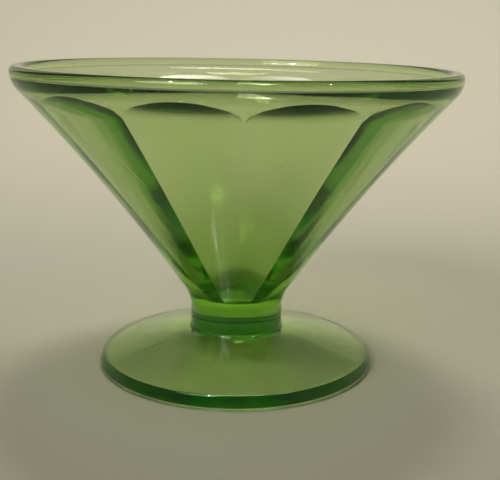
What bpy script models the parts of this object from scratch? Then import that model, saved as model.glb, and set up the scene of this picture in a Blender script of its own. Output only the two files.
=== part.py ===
"""Footed cone dessert or cocktail glass, pressed in one colour of glass.

The bowl is a wide cone that turns upright just under its rim. Its outside is smooth and round, and
its inside has flat panels that run from a small floor up to arched tops under the rim. A short
solid collar joins it to a round foot with a conical top and a conical hollow underneath.
+Z is up, the origin is at the centre of the resting plane, and all sizes are in metres.
"""

from math import asin, atan2, cos, hypot, pi, radians, sin, tan

import bmesh
import bpy

# Overall sizes
HEIGHT = 0.0706  # resting plane to the top of the rim
RIM_RADIUS = 0.0510  # outside of the rim
FOOT_RADIUS = 0.0330  # widest part of the foot

# Bowl
RIM_TURN = 0.0059  # radius on which the cone turns upright under the rim
RIM_LIP = 0.0012  # rounding of the rim's outer edge
RIM_ROUND = 0.0018  # rounding of the rim's inner edge
RIM_WALL = 0.0036  # thickness of the rim
RIM_DEPTH = 0.0021  # upright inside of the rim, from the top down to the sloping wall
CONE_SAG = 0.00107  # how far the outside bows in, half way up
COVE_RADIUS = 0.0090  # between the cone and the collar
BASE_BAND = 0.0002  # upright stretch under the cove
FLOOR_RADIUS = 0.0040  # corners of the inside floor
FLOOR_THICKNESS = 0.0034  # glass under the floor, down to the collar
PANEL_COUNT = 12
ARCH_TOP = 0.0038  # rim top down to the crown of each panel's arch
ARCH_RISE = 0.0036  # crown of an arch down to the tops of the ribs beside it
CORNER_WALL = 0.0028  # wall at the arch crowns, measured level

# Collar
COLLAR_RADIUS = 0.0110
COLLAR_HEIGHT = 0.0036

# Foot
EDGE_HEIGHT = 0.00336  # resting plane to the upper end of the edge's rounding
EDGE_LEAN = radians(19)  # how far the edge face leans in from upright
EDGE_ROUND = 0.0006  # rounding between the edge face and the conical top
TOE_ROUND = 0.0004  # rounding between the edge face and the resting ring
FOOT_SLOPE = radians(14.9)  # conical top, and the hollow under it
FOOT_FILLET = 0.0007  # between the conical top and the collar
RING_WIDTH = 0.0012  # flat resting ring
HOLLOW_SIDE = 0.0005  # width of the curve from the ring up to the hollow's cone
HOLLOW_EDGE = 0.0002  # height of the hollow's cone where it meets that curve
HOLLOW_ROUND = 0.0020  # height by which the hollow's point is rounded off

PIECE_GAP = 0.0003  # clearance between touching pieces

# Mesh fineness
AROUND = 72  # columns round the axis, a multiple of PANEL_COUNT
ARC_STEPS = 5
CONE_STEPS = 9
PANEL_STEPS = 7
ARCH_STEPS = 3
HOLLOW_STEPS = 5
BISECTIONS = 40
SHARP_ANGLE = radians(25)  # creases sharper than this stay crisp

GLASS_GREEN = (0.20, 0.46, 0.08, 1.0)
GLASS_ROUGHNESS = 0.08
GLASS_IOR = 1.52


def clear_scene():
    for old in list(bpy.data.objects):
        bpy.data.objects.remove(old, do_unlink=True)


def glass_material(name):
    material = bpy.data.materials.new(name)
    material.use_nodes = True
    shader = material.node_tree.nodes["Principled BSDF"]
    shader.inputs["Base Color"].default_value = GLASS_GREEN
    shader.inputs["Roughness"].default_value = GLASS_ROUGHNESS
    shader.inputs["Metallic"].default_value = 0.0
    shader.inputs["IOR"].default_value = GLASS_IOR
    shader.inputs["Transmission Weight"].default_value = 1.0
    return material


def arc(centre, radius, start, end, steps=ARC_STEPS):
    """Points on a circle in the (r, z) plane, from one angle to another, both ends included."""
    points = []
    for step in range(steps + 1):
        angle = start + (end - start) * step / steps
        points.append((centre[0] + radius * cos(angle), centre[1] + radius * sin(angle)))
    return points


def mesh_from_columns(name, columns):
    """One object from equal columns of (r, z) points, spread evenly round Z.

    Each column runs from the axis underneath, up the outside, and back to the axis above.
    """
    mesh = bmesh.new()
    count = len(columns)
    bottom = mesh.verts.new((0.0, 0.0, columns[0][0][1]))
    top = mesh.verts.new((0.0, 0.0, columns[0][-1][1]))
    rings = []
    for index, column in enumerate(columns):
        angle = 2 * pi * index / count
        ring = [mesh.verts.new((r * cos(angle), r * sin(angle), z)) for r, z in column[1:-1]]
        rings.append(ring)
    for index in range(count):
        here, following = rings[index], rings[(index + 1) % count]
        mesh.faces.new((bottom, following[0], here[0]))
        for low in range(len(here) - 1):
            mesh.faces.new((here[low], following[low], following[low + 1], here[low + 1]))
        mesh.faces.new((here[-1], following[-1], top))
    bmesh.ops.recalc_face_normals(mesh, faces=mesh.faces)
    data = bpy.data.meshes.new(name)
    mesh.to_mesh(data)
    mesh.free()
    data.shade_smooth()
    data.set_sharp_from_angle(angle=SHARP_ANGLE)
    made = bpy.data.objects.new(name, data)
    data.materials.append(glass_material(name + "_glass"))
    bpy.context.scene.collection.objects.link(made)
    return made


def foot_outside():
    """Outer profile of the foot, from the resting ring's inner edge up to the collar's seat."""
    toe_centre = (FOOT_RADIUS - TOE_ROUND, TOE_ROUND)
    toe = arc(toe_centre, TOE_ROUND, -pi / 2, EDGE_LEAN)
    # The edge face runs straight from the toe's rounding to the upper one and touches both.
    upper_z = EDGE_HEIGHT - EDGE_ROUND * cos(FOOT_SLOPE)
    face_length = (upper_z - toe[-1][1] + EDGE_ROUND * sin(EDGE_LEAN)) / cos(EDGE_LEAN)
    upper_r = toe[-1][0] - face_length * sin(EDGE_LEAN) - EDGE_ROUND * cos(EDGE_LEAN)
    edge = arc((upper_r, upper_z), EDGE_ROUND, EDGE_LEAN, pi / 2 - FOOT_SLOPE)
    # The conical top runs up to a fillet that turns upright at the collar.
    fillet_r = COLLAR_RADIUS + FOOT_FILLET
    slope_z = edge[-1][1] + (edge[-1][0] - fillet_r) * tan(FOOT_SLOPE)
    fillet_z = slope_z + FOOT_FILLET / cos(FOOT_SLOPE)
    fillet = arc((fillet_r, fillet_z), FOOT_FILLET, -pi / 2 - FOOT_SLOPE, -pi)
    middle = ((edge[-1][0] + fillet[0][0]) / 2, (edge[-1][1] + fillet[0][1]) / 2)
    return toe + edge + [middle] + fillet


SEAT_HEIGHT = foot_outside()[-1][1]  # the collar stands where the foot's fillet ends
COLLAR_BASE = SEAT_HEIGHT + PIECE_GAP
BOWL_BASE = COLLAR_BASE + COLLAR_HEIGHT + PIECE_GAP
FLOOR_HEIGHT = BOWL_BASE + FLOOR_THICKNESS


def make_foot():
    outside = foot_outside()
    ring_inner = outside[0][0] - RING_WIDTH
    cone_r = ring_inner - HOLLOW_SIDE
    # The hollow is a cone parallel to the foot's top, with its point rounded as a hyperbola is.
    fall = hypot(HOLLOW_ROUND, cone_r * tan(FOOT_SLOPE))
    hollow = []
    for step in range(HOLLOW_STEPS + 1):
        r = cone_r * step / HOLLOW_STEPS
        z = HOLLOW_EDGE + fall - hypot(HOLLOW_ROUND, r * tan(FOOT_SLOPE))
        hollow.append((r, z))
    # A quarter ellipse brings the cone down to the ring.
    for step in range(1, ARC_STEPS + 1):
        angle = pi / 2 * step / ARC_STEPS
        hollow.append((cone_r + HOLLOW_SIDE * sin(angle), HOLLOW_EDGE * cos(angle)))
    column = hollow + outside + [(0.0, SEAT_HEIGHT)]
    return mesh_from_columns("foot", [column] * AROUND)


def make_collar():
    high = COLLAR_BASE + COLLAR_HEIGHT
    column = [(0.0, COLLAR_BASE), (COLLAR_RADIUS, COLLAR_BASE), (COLLAR_RADIUS, high), (0.0, high)]
    return mesh_from_columns("collar", [column] * AROUND)


def bowl_outside():
    """Outer profile from the axis up to the outer edge of the rim's top."""
    lip = arc((RIM_RADIUS - RIM_LIP, HEIGHT - RIM_LIP), RIM_LIP, 0, pi / 2)
    turn_centre = (RIM_RADIUS - RIM_TURN, HEIGHT - RIM_LIP)
    cove_centre = (COLLAR_RADIUS + COVE_RADIUS, BOWL_BASE + BASE_BAND)
    # The cone touches both circles, with the cove outside it and the turn inside it.
    across = (turn_centre[0] - cove_centre[0], turn_centre[1] - cove_centre[1])
    cone = atan2(across[1], across[0]) - asin((COVE_RADIUS + RIM_TURN) / hypot(*across))
    cove = arc(cove_centre, COVE_RADIUS, pi, pi / 2 + cone)
    turn = arc(turn_centre, RIM_TURN, cone - pi / 2, 0)
    side = []
    for step in range(1, CONE_STEPS):
        share = step / CONE_STEPS
        bow = CONE_SAG * (1 - (2 * share - 1) ** 2)
        r = cove[-1][0] + (turn[0][0] - cove[-1][0]) * share - bow * sin(cone)
        z = cove[-1][1] + (turn[0][1] - cove[-1][1]) * share + bow * cos(cone)
        side.append((r, z))
    return [(0.0, BOWL_BASE), (COLLAR_RADIUS, BOWL_BASE)] + cove + side + turn + lip[1:]


def panel_column(turned, outside_radius_at):
    """Inner profile from the rim's top down to the axis, at an angle from a panel's middle."""
    half_panel = pi / PANEL_COUNT
    crown_z = HEIGHT - ARCH_TOP
    rib_z = crown_z - ARCH_RISE
    crown_r = outside_radius_at(crown_z) - CORNER_WALL
    # The ribs lie on one straight line from the floor's corners to the arch crowns' radius.
    rib_slope = (crown_r - FLOOR_RADIUS) / (crown_z - FLOOR_HEIGHT)

    def rib_radius(z):
        return FLOOR_RADIUS + rib_slope * (z - FLOOR_HEIGHT)

    def flat_distance(z):
        return rib_radius(z) * cos(half_panel)

    def run_out(z):
        """The flat leaves its plane on an even curve and reaches the round wall at the crown."""
        share = (z - rib_z) / (crown_z - rib_z)
        return flat_distance(z) + (rib_radius(crown_z) - flat_distance(crown_z)) * share**2

    # The arch at this angle is where the run-out's surface meets the round wall.
    low, high = rib_z, crown_z
    for _ in range(BISECTIONS):
        middle = (low + high) / 2
        if run_out(middle) < rib_radius(middle) * cos(turned):
            low = middle
        else:
            high = middle
    arch_z = (low + high) / 2

    round_centre = (RIM_RADIUS - RIM_WALL + RIM_ROUND, HEIGHT - RIM_ROUND)
    points = arc(round_centre, RIM_ROUND, pi / 2, pi)
    neck_z = HEIGHT - RIM_DEPTH
    for z in (neck_z, (neck_z + crown_z) / 2):
        points.append((rib_radius(z), z))
    for step in range(ARCH_STEPS):
        z = arch_z + (rib_z - arch_z) * step / ARCH_STEPS
        points.append((run_out(z) / cos(turned), z))
    for step in range(PANEL_STEPS + 1):
        z = rib_z + (FLOOR_HEIGHT - rib_z) * step / PANEL_STEPS
        points.append((flat_distance(z) / cos(turned), z))
    points.append((0.0, FLOOR_HEIGHT))
    return points


def make_bowl():
    outside = bowl_outside()

    def outside_radius_at(height):
        """Radius of the outer profile at a height on the cone or the rim."""
        for (r0, z0), (r1, z1) in zip(outside[1:], outside[2:]):
            if z0 <= height < z1:
                return r0 + (r1 - r0) * (height - z0) / (z1 - z0)
        return RIM_RADIUS

    columns = []
    per_panel = AROUND // PANEL_COUNT
    for index in range(AROUND):
        # Ribs lie at the columns that divide the round into panels, one of them facing -Y.
        turned = (index % per_panel) / per_panel * 2 * pi / PANEL_COUNT - pi / PANEL_COUNT
        columns.append(outside + panel_column(turned, outside_radius_at))
    return mesh_from_columns("bowl", columns)


clear_scene()
make_foot()
make_collar()
make_bowl()
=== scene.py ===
import math

import bpy
import numpy as np
from mathutils import Matrix, Vector


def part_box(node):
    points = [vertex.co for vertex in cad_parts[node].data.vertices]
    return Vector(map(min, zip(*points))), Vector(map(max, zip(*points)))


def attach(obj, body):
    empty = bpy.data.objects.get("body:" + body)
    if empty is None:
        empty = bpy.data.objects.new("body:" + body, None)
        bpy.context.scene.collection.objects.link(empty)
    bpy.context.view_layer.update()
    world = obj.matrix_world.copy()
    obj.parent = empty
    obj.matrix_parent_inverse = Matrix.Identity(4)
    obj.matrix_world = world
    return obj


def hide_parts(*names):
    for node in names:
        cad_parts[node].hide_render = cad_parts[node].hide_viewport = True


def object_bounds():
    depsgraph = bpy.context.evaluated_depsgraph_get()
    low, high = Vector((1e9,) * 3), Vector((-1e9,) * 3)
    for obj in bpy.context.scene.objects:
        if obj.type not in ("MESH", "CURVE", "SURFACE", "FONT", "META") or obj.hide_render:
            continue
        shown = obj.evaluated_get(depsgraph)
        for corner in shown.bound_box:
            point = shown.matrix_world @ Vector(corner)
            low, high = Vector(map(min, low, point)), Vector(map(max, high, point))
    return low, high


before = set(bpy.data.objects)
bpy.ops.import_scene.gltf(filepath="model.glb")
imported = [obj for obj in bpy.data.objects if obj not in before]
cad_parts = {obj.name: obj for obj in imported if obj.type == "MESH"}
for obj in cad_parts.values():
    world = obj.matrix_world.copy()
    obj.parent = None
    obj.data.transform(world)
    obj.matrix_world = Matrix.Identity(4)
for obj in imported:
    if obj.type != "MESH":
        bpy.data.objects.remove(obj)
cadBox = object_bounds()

print("cad box", [tuple(round(v, 5) for v in corner) for corner in cadBox])

mm = 0.001
columns = 288  # round the axis: 24 to each of the 12 inside panels
sharpAngle = math.radians(14)  # moulded creases stay crisp, roundings don't

# heights and radii that the frame fixes; the fine pieces only add what lies between them
rimRadius = cadBox[1].x
rimHeight = cadBox[1].z
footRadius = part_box("foot")[1].x
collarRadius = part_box("collar")[1].x
bowlJoint = (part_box("bowl")[0].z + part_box("collar")[1].z) / 2
footJoint = (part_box("collar")[0].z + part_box("foot")[1].z) / 2
jointGap = 0.02 * mm  # far thinner than a hair, so the three sections read as one pressing


def arcPoints(centre, radius, start, end, steps):
    # circle in the (r, z) plane: centre + radius * (cos a, sin a), a running from start to end
    angle = np.linspace(start, end, steps)
    return np.stack([centre[0] + radius * np.cos(angle), centre[1] + radius * np.sin(angle)], -1)


def between(first, last, steps):
    # straight run of points between two points, both ends left out
    share = np.linspace(0, 1, steps + 2)[1:-1, None]
    return first * (1 - share) + last * share


def turnedPiece(name, grid, joints, archRows=(0, 0)):
    # grid[row, column] holds (r, z) at angle 2 pi column / columns; the surface is
    # (r cos a, r sin a, z), closed on the axis by one point at each end.
    # joints names the closing ends ("low" the first, "high" the last) that lie inside the pressing;
    # archRows are the first and last row of the panels' arched tops.
    rows = len(grid)
    angle = 2 * math.pi * np.arange(columns) / columns
    r, z = grid[..., 0], grid[..., 1]
    points = np.stack([r * np.cos(angle), r * np.sin(angle), z], -1).reshape(-1, 3)
    points = np.concatenate([points, [[0, 0, z[0, 0]], [0, 0, z[-1, 0]]]])
    low, high = rows * columns, rows * columns + 1
    row, column = np.meshgrid(np.arange(rows - 1), np.arange(columns), indexing="ij")
    beside = (column + 1) % columns
    quads = np.stack(
        [row * columns + column, row * columns + beside,
         (row + 1) * columns + beside, (row + 1) * columns + column], -1
    ).reshape(-1, 4)
    around = np.arange(columns)
    after = (around + 1) % columns
    lowCap = np.stack([np.full(columns, low), after, around], -1)
    top = (rows - 1) * columns
    highCap = np.stack([top + around, top + after, np.full(columns, high)], -1)
    mesh = bpy.data.meshes.new(name)
    mesh.from_pydata(points.tolist(), [], quads.tolist() + lowCap.tolist() + highCap.tolist())
    ior = np.full(len(mesh.polygons), glassLook["ior"])
    if "low" in joints:
        ior[len(quads):len(quads) + columns] = glassLook["jointIor"]
    if "high" in joints:
        ior[len(quads) + columns:] = glassLook["jointIor"]
    mesh.attributes.new("surfaceIor", "FLOAT", "FACE").data.foreach_set("value", ior)
    arch = np.zeros(len(mesh.polygons))
    fade = np.linspace(1, 0, archRows[1] - archRows[0])  # full at the crowns, none where the flats begin
    arch[archRows[0] * columns:archRows[1] * columns] = np.repeat(fade, columns)
    mesh.attributes.new("archSkin", "FLOAT", "FACE").data.foreach_set("value", arch)
    mesh.shade_smooth()
    mesh.set_sharp_from_angle(angle=sharpAngle)
    piece = bpy.data.objects.new(name, mesh)
    bpy.context.scene.collection.objects.link(piece)
    print(name, len(points), "points")
    return piece


glassLook = {
    "ior": 1.52,  # soda-lime glass
    "jointIor": 1.0,  # two sections meet inside the pressing, so nothing bends there
    "density": 160.0,  # absorption per metre at full strength
    "throughColour": "#C2EB47",  # what the melt lets through, before the density is applied
    "skinColour": "#F4F3EF",  # little is lost at each surface, from its thin film of wear
    "polishedRoughness": 0.01,
    "polishFull": 3 * mm,  # under the rim's top, fire polished down to here
    "polishEnd": 5 * mm,  # under the rim's top, mould skin from here on
    "chilledRoughness": 0.10,  # skin that touched the cold mould
    "smoothestPatch": 0.45,  # share of that roughness where the mould was hottest
    "archRoughness": 0.24,  # arched tops of the panels, where the mould chilled it most
    "rubbedRoughness": 0.30,  # ring that it stands on
    "rubHeights": (0.1 * mm, 0.5 * mm),  # rubbed fully up to the first, not at all from the second
    "rippleSize": 9 * mm,
    "rippleHeight": 0.02 * mm,
    "patchSize": 14 * mm,
    "patchRange": (0.3, 0.7),  # noise values of the smoothest and the roughest skin
    "chillSize": 0.7 * mm,
    "chillHeight": 0.0006 * mm,
    "scratchCell": 16 * mm,  # hairlines lie this far apart
    "scratchBend": 6 * mm,
    "scratchRange": (0.50, 0.62),  # noise values from which they come in, and are full
    "scratchWidth": 0.012,  # as a share of the distance between them
    "scratchHeight": 0.010 * mm,
    "scratchRoughness": 0.22,
    "seedCell": 4.5 * mm,  # one tiny bubble in some of the cells of this size
    "seedRadius": 0.25 * mm,
    "seedHeight": 0.08 * mm,
    "seamTurn": math.radians(198),  # where the foot keeps its one mould mark
    "seamStart": (11.5 * mm, 12.5 * mm),  # radii over which it rises out of the collar's fillet
    "seamEnd": (15 * mm, 25 * mm),  # radii over which it fades away
    "seamTop": 1 * mm,  # it also fades out this far under the collar
    "seamWidth": 0.12 * mm,
    "seamHeight": 0.02 * mm,
}


def linearColour(hexColour):
    # sRGB hex to linear RGBA
    values = [int(hexColour[i:i + 2], 16) / 255 for i in (1, 3, 5)]
    return [v / 12.92 if v <= 0.04045 else ((v + 0.055) / 1.055) ** 2.4 for v in values] + [1.0]


def addNode(tree, kind, settings=None, inputs=None):
    # one node: settings are its own properties, inputs are values or the sockets that feed it
    node = tree.nodes.new(kind)
    for key, value in (settings or {}).items():
        setattr(node, key, value)
    for key, value in (inputs or {}).items():
        if isinstance(value, bpy.types.NodeSocket):
            tree.links.new(value, node.inputs[key])
        else:
            node.inputs[key].default_value = value
    return node


def remap(tree, value, fromLow, fromHigh, toLow, toHigh):
    node = addNode(tree, "ShaderNodeMapRange", None, {
        "Value": value, "From Min": fromLow, "From Max": fromHigh, "To Min": toLow, "To Max": toHigh})
    return node.outputs["Result"]


def blend(tree, share, first, second):
    node = addNode(tree, "ShaderNodeMix", {"data_type": "FLOAT"},
                   {"Factor": share, "A": first, "B": second})
    return node.outputs["Result"]


def calculate(tree, operation, first, second):
    node = addNode(tree, "ShaderNodeMath", {"operation": operation}, {0: first, 1: second})
    return node.outputs["Value"]


def pressedGreenGlass():
    # soda-lime glass coloured green in the melt, pressed in an iron mould and fire polished:
    # deep green where the light crosses much glass, nearly clear in a thin wall, a faint
    # ripple from the mould's chilled skin and a dull rub where it stands
    material = bpy.data.materials.new("fire-polished pressed green glass")
    material.use_nodes = True
    tree = material.node_tree
    tree.nodes.clear()
    place = addNode(tree, "ShaderNodeTexCoord").outputs["Object"]
    ripple = addNode(tree, "ShaderNodeTexNoise", None, {
        "Vector": place, "Scale": 1 / glassLook["rippleSize"], "Detail": 2.0, "Roughness": 0.45})
    rippled = addNode(tree, "ShaderNodeBump", None, {
        "Strength": 1.0, "Distance": glassLook["rippleHeight"], "Height": ripple.outputs["Fac"]})
    # fine orange-peel grain where the skin froze against the mould
    chill = addNode(tree, "ShaderNodeTexNoise", None, {
        "Vector": place, "Scale": 1 / glassLook["chillSize"], "Detail": 3.0, "Roughness": 0.6})
    bump = addNode(tree, "ShaderNodeBump", None, {
        "Strength": 1.0, "Distance": glassLook["chillHeight"], "Height": chill.outputs["Fac"],
        "Normal": rippled.outputs["Normal"]})
    # the rim is fire polished; below it the skin keeps the mould's faint satin, in soft patches
    height = addNode(tree, "ShaderNodeSeparateXYZ", None, {"Vector": place})
    below = addNode(tree, "ShaderNodeMapRange", {"interpolation_type": "SMOOTHSTEP"}, {
        "Value": height.outputs["Z"], "From Min": rimHeight - glassLook["polishEnd"],
        "From Max": rimHeight - glassLook["polishFull"], "To Min": 1.0, "To Max": 0.0})
    patches = addNode(tree, "ShaderNodeTexNoise", None, {
        "Vector": place, "Scale": 1 / glassLook["patchSize"], "Detail": 3.0, "Roughness": 0.55})
    patchy = remap(tree, patches.outputs["Fac"], *glassLook["patchRange"],
                   glassLook["smoothestPatch"] * glassLook["chilledRoughness"],
                   glassLook["chilledRoughness"])
    arch = addNode(tree, "ShaderNodeAttribute", {"attribute_name": "archSkin"})
    chilled = blend(tree, arch.outputs["Fac"], patchy, glassLook["archRoughness"])
    skin = blend(tree, below.outputs["Result"], glassLook["polishedRoughness"], chilled)
    # hairline scratches from stacking and washing, none on the polished rim: edges of large
    # bent cells, broken up by noise
    bend = addNode(tree, "ShaderNodeTexNoise", None, {
        "Vector": place, "Scale": 1 / glassLook["patchSize"], "Detail": 1.0})
    bent = addNode(tree, "ShaderNodeVectorMath", {"operation": "MULTIPLY_ADD"}, {
        0: bend.outputs["Color"], 1: (glassLook["scratchBend"],) * 3, 2: place})
    cells = addNode(tree, "ShaderNodeTexVoronoi", {"feature": "DISTANCE_TO_EDGE"}, {
        "Vector": bent.outputs["Vector"], "Scale": 1 / glassLook["scratchCell"]})
    lines = remap(tree, cells.outputs["Distance"], 0.0, glassLook["scratchWidth"], 1.0, 0.0)
    kept = remap(tree, ripple.outputs["Fac"], *glassLook["scratchRange"], 0.0, 1.0)
    kept = calculate(tree, "MULTIPLY", kept, below.outputs["Result"])
    scratches = calculate(tree, "MULTIPLY", lines, kept)
    scratched = blend(tree, scratches, skin, glassLook["scratchRoughness"])
    # the resting ring is rubbed dull
    ring = remap(tree, height.outputs["Z"], *glassLook["rubHeights"], 1.0, 0.0)
    roughness = blend(tree, ring, scratched, glassLook["rubbedRoughness"])
    # seeds: tiny bubbles near the skin, each a shallow bump
    seedCells = addNode(tree, "ShaderNodeTexVoronoi", {"feature": "F1"}, {
        "Vector": place, "Scale": 1 / glassLook["seedCell"]})
    seeds = remap(tree, seedCells.outputs["Distance"], 0.0,
                  glassLook["seedRadius"] / glassLook["seedCell"], glassLook["seedHeight"], 0.0)
    # one mould mark runs out along the foot: distance to a line through the axis
    across = (math.sin(glassLook["seamTurn"]), -math.cos(glassLook["seamTurn"]), 0)
    along = (math.cos(glassLook["seamTurn"]), math.sin(glassLook["seamTurn"]), 0)
    aside = addNode(tree, "ShaderNodeVectorMath", {"operation": "DOT_PRODUCT"}, {0: place, 1: across})
    outward = addNode(tree, "ShaderNodeVectorMath", {"operation": "DOT_PRODUCT"}, {0: place, 1: along})
    seamSide = remap(tree, calculate(tree, "ABSOLUTE", aside.outputs["Value"], 0.0),
                     0.0, glassLook["seamWidth"], glassLook["seamHeight"], 0.0)
    seamEnd = remap(tree, outward.outputs["Value"], *glassLook["seamEnd"], 1.0, 0.0)
    seamStart = remap(tree, outward.outputs["Value"], *glassLook["seamStart"], 0.0, 1.0)
    onFoot = remap(tree, height.outputs["Z"], footJoint - glassLook["seamTop"], footJoint, 1.0, 0.0)
    seam = seamSide
    for limit in (seamEnd, seamStart, onFoot):
        seam = calculate(tree, "MULTIPLY", seam, limit)
    marks = calculate(tree, "ADD", calculate(tree, "ADD", seeds, seam),
                      calculate(tree, "MULTIPLY", scratches, -glassLook["scratchHeight"]))
    marked = addNode(tree, "ShaderNodeBump", None, {
        "Strength": 1.0, "Distance": 1.0, "Height": marks, "Normal": bump.outputs["Normal"]})
    surfaceIor = addNode(tree, "ShaderNodeAttribute", {"attribute_name": "surfaceIor"})
    # joints inside the pressing have no skin
    onSkin = remap(tree, surfaceIor.outputs["Fac"],
                   glassLook["jointIor"], glassLook["jointIor"] + 0.1, 0.0, 1.0)
    skinColour = addNode(tree, "ShaderNodeMix", {"data_type": "RGBA"}, {
        0: onSkin, 6: (1, 1, 1, 1), 7: linearColour(glassLook["skinColour"])})
    shader = addNode(tree, "ShaderNodeBsdfPrincipled", None, {
        "Base Color": skinColour.outputs[2],
        "Roughness": roughness,
        "Transmission Weight": 1.0,
        "Normal": marked.outputs["Normal"],
        "IOR": surfaceIor.outputs["Fac"],
    })
    shader.inputs["IOR"].default_value = glassLook["ior"]
    melt = addNode(tree, "ShaderNodeVolumeAbsorption", None, {
        "Color": linearColour(glassLook["throughColour"]), "Density": glassLook["density"]})
    addNode(tree, "ShaderNodeOutputMaterial", None,
            {"Surface": shader.outputs["BSDF"], "Volume": melt.outputs["Volume"]})
    return material


glass = pressedGreenGlass()
print("glass made")

foot = {
    "steps": {"toe": 12, "face": 4, "edge": 8, "top": 16, "fillet": 12, "hollow": 40, "side": 10},
    "edgeHeight": 3.36 * mm,  # top of the edge's rounding
    "edgeLean": math.radians(19),
    "edgeRound": 0.6 * mm,
    "toeRound": 0.4 * mm,
    "slope": math.radians(14.9),
    "fillet": 0.7 * mm,
    "ringWidth": 1.2 * mm,
    "hollowSide": 0.5 * mm,
    "hollowEdge": 0.2 * mm,
    "hollowRound": 2.0 * mm,
}


def footOutside():
    # ring, toe rounding, leaning edge face, edge rounding, conical top, fillet up to the collar
    lean, slope, steps = foot["edgeLean"], foot["slope"], foot["steps"]
    toe = arcPoints((footRadius - foot["toeRound"], foot["toeRound"]), foot["toeRound"],
                    -math.pi / 2, lean, steps["toe"])
    edgeZ = foot["edgeHeight"] - foot["edgeRound"] * math.cos(slope)
    face = (edgeZ - toe[-1, 1] + foot["edgeRound"] * math.sin(lean)) / math.cos(lean)
    edgeR = toe[-1, 0] - face * math.sin(lean) - foot["edgeRound"] * math.cos(lean)
    edge = arcPoints((edgeR, edgeZ), foot["edgeRound"], lean, math.pi / 2 - slope, steps["edge"])
    filletR = collarRadius + foot["fillet"]
    slopeZ = edge[-1, 1] + (edge[-1, 0] - filletR) * math.tan(slope)
    filletZ = slopeZ + foot["fillet"] / math.cos(slope)
    fillet = arcPoints((filletR, filletZ), foot["fillet"], -math.pi / 2 - slope, -math.pi, steps["fillet"])
    return np.concatenate([toe, between(toe[-1], edge[0], steps["face"]), edge,
                           between(edge[-1], fillet[0], steps["top"]), fillet])


def footHollow(ringInner):
    # cone parallel to the foot's top, its point rounded as a hyperbola is:
    # z = edge + hypot(round, R tan s) - hypot(round, r tan s), then a quarter ellipse to the ring
    coneR = ringInner - foot["hollowSide"]
    r = np.linspace(0, coneR, foot["steps"]["hollow"])[1:]
    fall = math.hypot(foot["hollowRound"], coneR * math.tan(foot["slope"]))
    z = foot["hollowEdge"] + fall - np.hypot(foot["hollowRound"], r * math.tan(foot["slope"]))
    turn = np.linspace(0, math.pi / 2, foot["steps"]["side"])[1:]
    side = np.stack([coneR + foot["hollowSide"] * np.sin(turn), foot["hollowEdge"] * np.cos(turn)], -1)
    return np.concatenate([np.stack([r, z], -1), side])


def makeFoot():
    outside = footOutside()
    hollow = footHollow(outside[0, 0] - foot["ringWidth"])
    top = np.array([[collarRadius, footJoint - jointGap / 2]])
    profile = np.concatenate([hollow, outside[outside[:, 1] < top[0, 1] - 1e-6], top])
    return turnedPiece("footGlass", np.repeat(profile[:, None], columns, 1), ["high"])


def makeCollar():
    # plain round section between the two joints
    rows = 9
    low, high = footJoint + jointGap / 2, bowlJoint - jointGap / 2
    side = np.stack([np.full(rows, collarRadius), np.linspace(low, high, rows)], -1)
    return turnedPiece("collarGlass", np.repeat(side[:, None], columns, 1), ["low", "high"])


bowl = {
    "panels": 12,
    "steps": {"lip": 14, "cove": 20, "turn": 24, "side": 42,
              "round": 18, "wall": 6, "arch": 14, "panel": 56, "ease": 10, "floor": 7},
    "lip": 1.2 * mm,  # outer rounding of the rim
    "turn": 5.9 * mm,  # from the rim's widest part into the cone
    "innerRound": 1.8 * mm,
    "wall": 3.6 * mm,
    "neck": 2.1 * mm,
    "sag": 1.07 * mm,
    "cove": 9.0 * mm,
    "baseBand": 0.2 * mm,
    "floorRadius": 4.0 * mm,
    "floorHeight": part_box("bowl")[0].z + 3.4 * mm,
    "floorEase": 0.7 * mm,  # rounding between the panels and the floor
    "archTop": 3.8 * mm,
    "archRise": 3.6 * mm,
    "cornerWall": 2.8 * mm,
}


def bowlOutside():
    # base, cove, bowed cone, turn into the rim, lip; the cone touches the cove and the turn
    steps = bowl["steps"]
    lip = arcPoints((rimRadius - bowl["lip"], rimHeight - bowl["lip"]), bowl["lip"],
                    0, math.pi / 2, steps["lip"])
    turnCentre = np.array([rimRadius - bowl["turn"], rimHeight - bowl["lip"]])
    coveCentre = np.array([collarRadius + bowl["cove"], bowlJoint + bowl["baseBand"]])
    across = turnCentre - coveCentre
    cone = math.atan2(across[1], across[0]) - math.asin((bowl["cove"] + bowl["turn"]) / math.hypot(*across))
    cove = arcPoints(coveCentre, bowl["cove"], math.pi, math.pi / 2 + cone, steps["cove"])
    turn = arcPoints(turnCentre, bowl["turn"], cone - math.pi / 2, 0, steps["turn"])
    share = np.linspace(0, 1, steps["side"])[1:-1, None]
    bow = bowl["sag"] * (1 - (2 * share - 1) ** 2)
    side = cove[-1] * (1 - share) + turn[0] * share + bow * np.array([[-math.sin(cone), math.cos(cone)]])
    base = np.array([[collarRadius, bowlJoint + jointGap / 2]])
    print("cone angle", round(math.degrees(cone), 2))
    return np.concatenate([base, cove, side, turn, lip[1:]])


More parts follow.
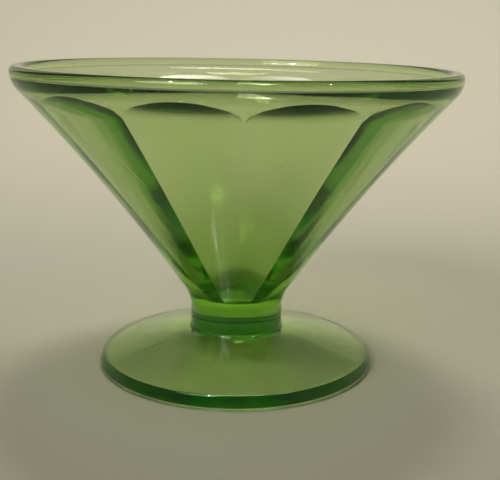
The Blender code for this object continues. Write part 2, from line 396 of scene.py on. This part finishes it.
def bowlInside(outside):
    # Each panel is a plane: its distance from the axis is the ribs' radius * cos(half a panel),
    # so at an angle t from its middle r = distance / cos t. The ribs' radius is one straight
    # line from the floor to the arch crowns. Above the ribs' tops the plane bends outwards by
    # (share of the rise) squared, and the arch is where it meets the round wall.
    steps = bowl["steps"]
    half = math.pi / bowl["panels"]
    perPanel = columns // bowl["panels"]
    turned = (np.arange(columns) % perPanel) / perPanel * 2 * half - half
    crownZ = rimHeight - bowl["archTop"]
    ribZ = crownZ - bowl["archRise"]
    crownR = np.interp(crownZ, outside[:, 1], outside[:, 0]) - bowl["cornerWall"]
    ribSlope = (crownR - bowl["floorRadius"]) / (crownZ - bowl["floorHeight"])

    def ribRadius(z):
        return bowl["floorRadius"] + ribSlope * (z - bowl["floorHeight"])

    def runOut(z):
        flat = ribRadius(z) * math.cos(half)
        bend = ribRadius(crownZ) * (1 - math.cos(half))
        return flat + bend * ((z - ribZ) / (crownZ - ribZ)) ** 2

    # halve the span of heights until the arch's own is left
    low, high = np.full(columns, ribZ), np.full(columns, crownZ)
    for _ in range(40):
        middle = (low + high) / 2
        inside = runOut(middle) < ribRadius(middle) * np.cos(turned)
        low, high = np.where(inside, middle, low), np.where(inside, high, middle)
    archZ = (low + high) / 2

    rim = arcPoints((rimRadius - bowl["wall"] + bowl["innerRound"], rimHeight - bowl["innerRound"]),
                    bowl["innerRound"], math.pi / 2, math.pi, steps["round"])
    rim = np.repeat(rim[:, None], columns, 1)
    neckZ = rimHeight - bowl["neck"]
    share = np.linspace(0, 1, steps["wall"])[:, None]
    wallZ = neckZ * (1 - share) + archZ * share
    share = np.linspace(0, 1, steps["arch"])[1:, None]
    archZs = archZ * (1 - share) + ribZ * share
    share = np.linspace(0, 1, steps["panel"])[1:, None]
    ease, floorZ = bowl["floorEase"], bowl["floorHeight"]
    panelZ = (ribZ * (1 - share) + (floorZ + ease) * share) * np.ones(columns)
    # (1 - t)^2 * start + 2 t (1 - t) * corner + t^2 * end, from the panel onto the floor
    t = np.linspace(0, 1, steps["ease"])[1:, None]
    edgeR = ribRadius(floorZ) * math.cos(half) / np.cos(turned)
    startR = ribRadius(floorZ + ease) * math.cos(half) / np.cos(turned)
    easeR = (1 - t) ** 2 * startR + 2 * t * (1 - t) * edgeR + t**2 * (edgeR - ease)
    easeZ = (floorZ + (1 - t) ** 2 * ease) * np.ones(columns)
    floorShare = np.linspace(1, 0, steps["floor"])[1:-1, None]
    parts = [
        rim,
        np.stack([ribRadius(wallZ), wallZ], -1),
        np.stack([runOut(archZs) / np.cos(turned), archZs], -1),
        np.stack([ribRadius(panelZ) * math.cos(half) / np.cos(turned), panelZ], -1),
        np.stack([easeR, easeZ], -1),
        np.stack([(edgeR - ease) * floorShare, np.full((len(floorShare), columns), floorZ)], -1),
    ]
    firstArch = len(parts[0]) + len(parts[1]) - 1
    return np.concatenate(parts), (firstArch, firstArch + len(parts[2]))


def makeBowl():
    outside = bowlOutside()
    inside, archRows = bowlInside(outside)
    grid = np.concatenate([np.repeat(outside[:, None], columns, 1), inside])
    return turnedPiece("bowlGlass", grid, ["low"], [row + len(outside) for row in archRows])


for make, node in ((makeFoot, "foot"), (makeCollar, "collar"), (makeBowl, "bowl")):
    piece = make()
    piece.data.materials.append(glass)
    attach(piece, "root")
    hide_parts(node)
print("glass pieces made")

stage = {
    "floorRadius": 0.30,
    "sweepRadius": 0.25,
    "wallHeight": 0.27,
    "colour": "#B7B5A5",
    "roughness": 0.75,
}


def makeStage():
    # flat disc that turns up through a quarter circle into a low round wall, facing inwards:
    # (r cos a, r sin a, z) along the profile, closed by one point in the middle
    sides = 96
    flat = np.stack([np.linspace(0, stage["floorRadius"], 12)[1:], np.zeros(11)], -1)
    sweep = arcPoints((stage["floorRadius"], stage["sweepRadius"]), stage["sweepRadius"], -math.pi / 2, 0, 24)
    wall = np.array([[stage["floorRadius"] + stage["sweepRadius"], stage["wallHeight"]]])
    profile = np.concatenate([flat, sweep[1:], wall])
    angle = 2 * math.pi * np.arange(sides) / sides
    points = np.stack([profile[:, :1] * np.cos(angle), profile[:, :1] * np.sin(angle),
                       np.repeat(profile[:, 1:], sides, 1)], -1).reshape(-1, 3)
    row, column = np.meshgrid(np.arange(len(profile) - 1), np.arange(sides), indexing="ij")
    beside = (column + 1) % sides
    quads = np.stack([row * sides + column, (row + 1) * sides + column,
                      (row + 1) * sides + beside, row * sides + beside], -1).reshape(-1, 4) + 1
    around = np.arange(sides)
    middle = np.stack([np.zeros(sides, int), around + 1, (around + 1) % sides + 1], -1)
    mesh = bpy.data.meshes.new("paleFloor")
    mesh.from_pydata([(0, 0, 0)] + points.tolist(), [], quads.tolist() + middle.tolist())
    mesh.shade_smooth()
    floor = bpy.data.objects.new("paleFloor", mesh)
    bpy.context.scene.collection.objects.link(floor)
    material = bpy.data.materials.new("matt painted board")
    material.use_nodes = True
    shader = material.node_tree.nodes["Principled BSDF"]
    shader.inputs["Base Color"].default_value = linearColour(stage["colour"])
    shader.inputs["Roughness"].default_value = stage["roughness"]
    mesh.materials.append(material)


makeStage()
print("floor made")

light = {
    "colour": "#FFFAF0",
    "aim": (0, 0, 0.04),  # middle of the glass
    "softboxPlace": (-0.85, -1.15, 1.05),
    "softboxPower": 15,
    "softboxSize": 1.0,
    "poolPlace": (0.05, 0.38, 1.00),
    "poolAim": (0.05, 0.42, 0),
    "poolPower": 32,
    "poolSpread": math.radians(66),
    "poolSize": 0.15,
    "glintPlaces": ((-0.37, -0.65, 1.00), (-0.53, -0.53, 1.00), (0.63, -0.41, 1.00)),
    "glintPower": 3.5,
    "glintSize": 0.07,
    "roomStrength": 0.22,
}


def addLamp(name, kind, place, aim, power, settings):
    # one lamp at a place, turned towards what it lights; returns its holder
    lamp = bpy.data.lights.new(name, kind)
    lamp.energy = power
    lamp.color = linearColour(light["colour"])[:3]
    for key, value in settings.items():
        setattr(lamp, key, value)
    holder = bpy.data.objects.new(name, lamp)
    holder.location = place
    holder.rotation_euler = (Vector(aim) - Vector(place)).to_track_quat("-Z", "Y").to_euler()
    bpy.context.scene.collection.objects.link(holder)
    return holder


def makeLamps():
    addLamp("front softbox", "AREA", light["softboxPlace"], light["aim"], light["softboxPower"],
            {"shape": "DISK", "size": light["softboxSize"]})
    pool = addLamp("pool behind", "SPOT", light["poolPlace"], light["poolAim"], light["poolPower"],
                   {"spot_size": light["poolSpread"], "spot_blend": 1.0,
                    "shadow_soft_size": light["poolSize"]})
    # lights the floor behind, without its own reflection in the glass
    pool.visible_glossy = False
    # small bare lamps that only show as glints on the polished glass, not on the floor
    for place in light["glintPlaces"]:
        glint = addLamp("glint", "AREA", place, light["aim"], light["glintPower"],
                        {"shape": "DISK", "size": light["glintSize"]})
        glint.visible_diffuse = False


def makeRoom():
    world = bpy.data.worlds.new("soft room")
    bpy.context.scene.world = world
    world.use_nodes = True
    background = world.node_tree.nodes["Background"]
    background.inputs["Color"].default_value = linearColour(light["colour"])
    background.inputs["Strength"].default_value = light["roomStrength"]


makeLamps()
makeRoom()
print("lights made")

view = {
    "distance": 212.2 * mm,  # from the axis
    "height": 80.4 * mm,
    "pitch": 0.2337,  # radians, looking down
    "yaw": 0.0423,
    "roll": 0.022,
    "turn": math.radians(1.3),  # round the glass, off the rib that faces the front
    "lens": 65.48,  # millimetres, as the sensor's width is
    "sensor": 36,
    "shift": -0.0494,
    "bounces": 96,  # light crosses many faces of glass before it leaves
}


def makeCamera():
    camera = bpy.data.cameras.new("camera")
    holder = bpy.data.objects.new("camera", camera)
    bpy.context.scene.collection.objects.link(holder)
    camera.sensor_width = view["sensor"]
    camera.sensor_fit = "HORIZONTAL"
    camera.lens = view["lens"]
    camera.shift_x = view["shift"]
    camera.clip_start = 1 * mm
    yaw, pitch, roll = view["yaw"], view["pitch"], view["roll"]
    ahead = Vector((math.sin(yaw) * math.cos(pitch), math.cos(yaw) * math.cos(pitch), -math.sin(pitch)))
    right = Vector((math.cos(yaw), -math.sin(yaw), 0))
    up = right.cross(ahead)
    across = right * math.cos(roll) + up * math.sin(roll)
    above = up * math.cos(roll) - right * math.sin(roll)
    stand = Matrix((
        (across.x, above.x, -ahead.x, 0),
        (across.y, above.y, -ahead.y, -view["distance"]),
        (across.z, above.z, -ahead.z, view["height"]),
        (0, 0, 0, 1),
    ))
    holder.matrix_world = Matrix.Rotation(-view["turn"], 4, "Z") @ stand
    bpy.context.scene.camera = holder


makeCamera()
print("camera made")

scene = bpy.context.scene
scene.view_settings.view_transform = "Standard"
for count in ("max_bounces", "transmission_bounces", "glossy_bounces", "transparent_max_bounces"):
    setattr(scene.cycles, count, view["bounces"])
print("scene ready")
